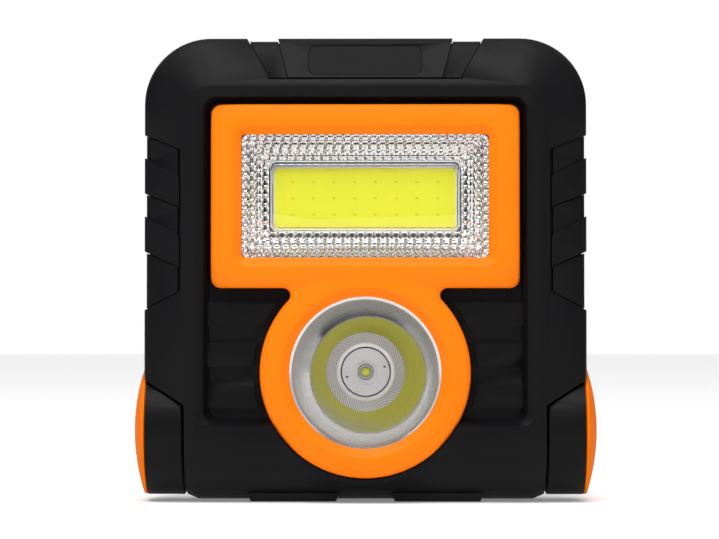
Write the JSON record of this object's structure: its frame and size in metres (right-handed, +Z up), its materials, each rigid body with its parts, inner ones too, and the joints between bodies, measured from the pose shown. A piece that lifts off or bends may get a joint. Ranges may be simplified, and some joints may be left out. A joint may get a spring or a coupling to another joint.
{
  "type": "work light",
  "caption": "Portable work light: a wide flood panel over a round spot lamp in a squarish case, with a swing-out U-shaped stand, magnets and a hanging hook.",
  "frame": {"origin": "on the resting plane under the middle of the light, straight below the stand's hinge axis", "axes": "+X across the front, to the right as seen from the front; +Y from the lamps' side to the back; +Z up"},
  "size_m": [0.1298, 0.0392, 0.1289],
  "materials": {
    "black_shell": "fine-grained, moulded",
    "black_stand": "fine-grained, moulded",
    "black_trim": "smooth, moulded",
    "orange_trim": "satin, moulded",
    "clear_lens": "clear, polished; the real one is polycarbonate",
    "metallised": "vacuum-metallised, bright",
    "panel_board": "white solder mask over aluminium",
    "phosphor": "yellow phosphor in silicone",
    "white_silicone": "white silicone",
    "led_white": "white, slightly glossy",
    "chip_grey": "small die, glossy",
    "heat_sink": "rolled sheet",
    "steel": "zinc-plated",
    "black_screw": "black oxide",
    "nickel": "nickel-plated",
    "circuit_green": "green solder mask",
    "chip_black": "moulded epoxy",
    "ferrite": "sintered ferrite",
    "copper": "enamelled copper wire",
    "light_pipe": "frosted acrylic",
    "cell_sleeve": "shrink sleeve over steel",
    "cradle": "moulded",
    "lead_red": "wire insulation",
    "acetal": "natural acetal",
    "rubber": "soft rubber"
  },
  "bodies": {
    "housing": {"front_shell": "black_shell", "rear_shell": "black_shell", "front_bezel": "orange_trim", "badge_plate": "black_trim", "flood_lens": "clear_lens", "flood_reflector": "metallised", "cob_board": "panel_board", "cob_chips": "chip_grey", "cob_phosphor": "phosphor", "cob_dam": "white_silicone", "flood_heat_sink": "heat_sink", "heat_sink_screws": "steel", "spot_lens": "clear_lens", "spot_reflector": "metallised", "spot_gasket": "led_white", "spot_led_body": "led_white", "spot_led_die": "phosphor", "spot_led_dome": "clear_lens", "spot_board": "panel_board", "spot_heat_sink": "heat_sink", "driver_board": "circuit_green", "board_screws": "steel", "driver_chips": "chip_black", "inductor_core": "ferrite", "inductor_coil": "copper", "usb_socket": "steel", "switch_body": "chip_black", "charge_lights": "led_white", "light_pipe": "light_pipe", "cell_upper": "cell_sleeve", "cell_lower": "cell_sleeve", "battery_cradle": "cradle", "battery_plates": "nickel", "battery_springs": "nickel", "flood_leads": "lead_red", "spot_leads": "lead_red", "battery_leads": "lead_red", "shell_screws": "black_screw", "feet": "rubber", "pivot_bush_left": "acetal", "pivot_bush_right": "acetal", "pivot_washers": "steel", "disc_springs": "steel", "pivot_screws": "steel", "pivot_nuts": "steel"},
    "stand": {"stand_frame": "black_stand", "hinge_cap_left": "orange_trim", "hinge_cap_right": "orange_trim", "magnets": "nickel", "magnet_cups": "steel", "hook_pin": "steel"},
    "hook": {"hook": "black_stand"},
    "power_button": {"power_button": "orange_trim", "switch_plunger": "led_white"},
    "port_cover": {"port_cover": "rubber"}
  },
  "joints": [
    {"name": "stand_fold", "type": "hinge", "parent": "housing", "child": "stand", "pos_m": [0, 0, 0.0196], "axis": [-1, 0, 0], "range_deg": [0, 180]},
    {"name": "hook_swing", "type": "hinge", "parent": "stand", "child": "hook", "pos_m": [0, 0.0157, 0.1194], "axis": [1, 0, 0], "range_deg": [0, 180]},
    {"name": "button_press", "type": "slide", "parent": "housing", "child": "power_button", "axis": [0, -1, 0], "range_m": [0, 0.001], "stiffness_N_per_m": 2000, "springref_m": -0.0003},
    {"name": "port_cover_open", "type": "hinge", "parent": "housing", "child": "port_cover", "pos_m": [0.03, 0.01835, 0.0513], "axis": [1, 0, 0], "range_deg": [0, 110]}
  ]
}
